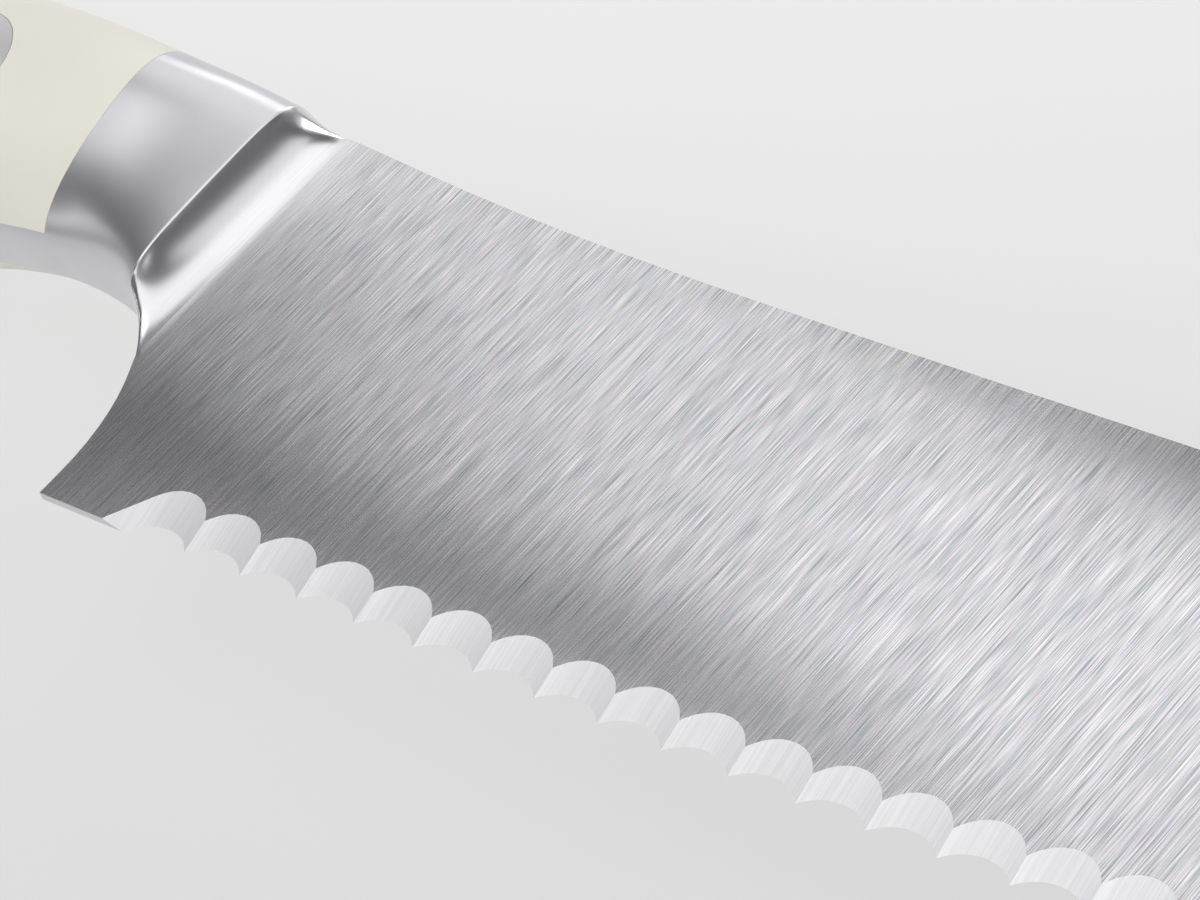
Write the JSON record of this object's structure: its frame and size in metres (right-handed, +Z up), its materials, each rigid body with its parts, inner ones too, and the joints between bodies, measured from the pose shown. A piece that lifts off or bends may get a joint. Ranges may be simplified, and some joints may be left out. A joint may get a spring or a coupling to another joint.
{
  "type": "sausage knife",
  "caption": "Forged kitchen knife with a scalloped edge ground on one side, a half bolster and a full tang held between riveted cream scales, for slicing firm-skinned food.",
  "frame": {"origin": "under the middle of the knife's box, on the surface that it lies on", "axes": "+X along the knife to the tip, +Y across it to the spine, +Z up out of the side that has the scallops"},
  "size_m": [0.2606, 0.0274, 0.017],
  "materials": {
    "forged_steel": "satin, brushed from spine to edge on the blade and polished on the bolster and scallops",
    "cream_resin": "moulded and buffed, soft sheen",
    "rivet_steel": "ground flush with the scales and polished"
  },
  "bodies": {
    "root": {"blade_forging": "forged_steel", "scale_upper": "cream_resin", "scale_lower": "cream_resin", "rivet_front_sleeve": "rivet_steel", "rivet_front_stud": "rivet_steel", "rivet_middle_sleeve": "rivet_steel", "rivet_middle_stud": "rivet_steel", "rivet_rear_sleeve": "rivet_steel", "rivet_rear_stud": "rivet_steel"}
  },
  "joints": []
}
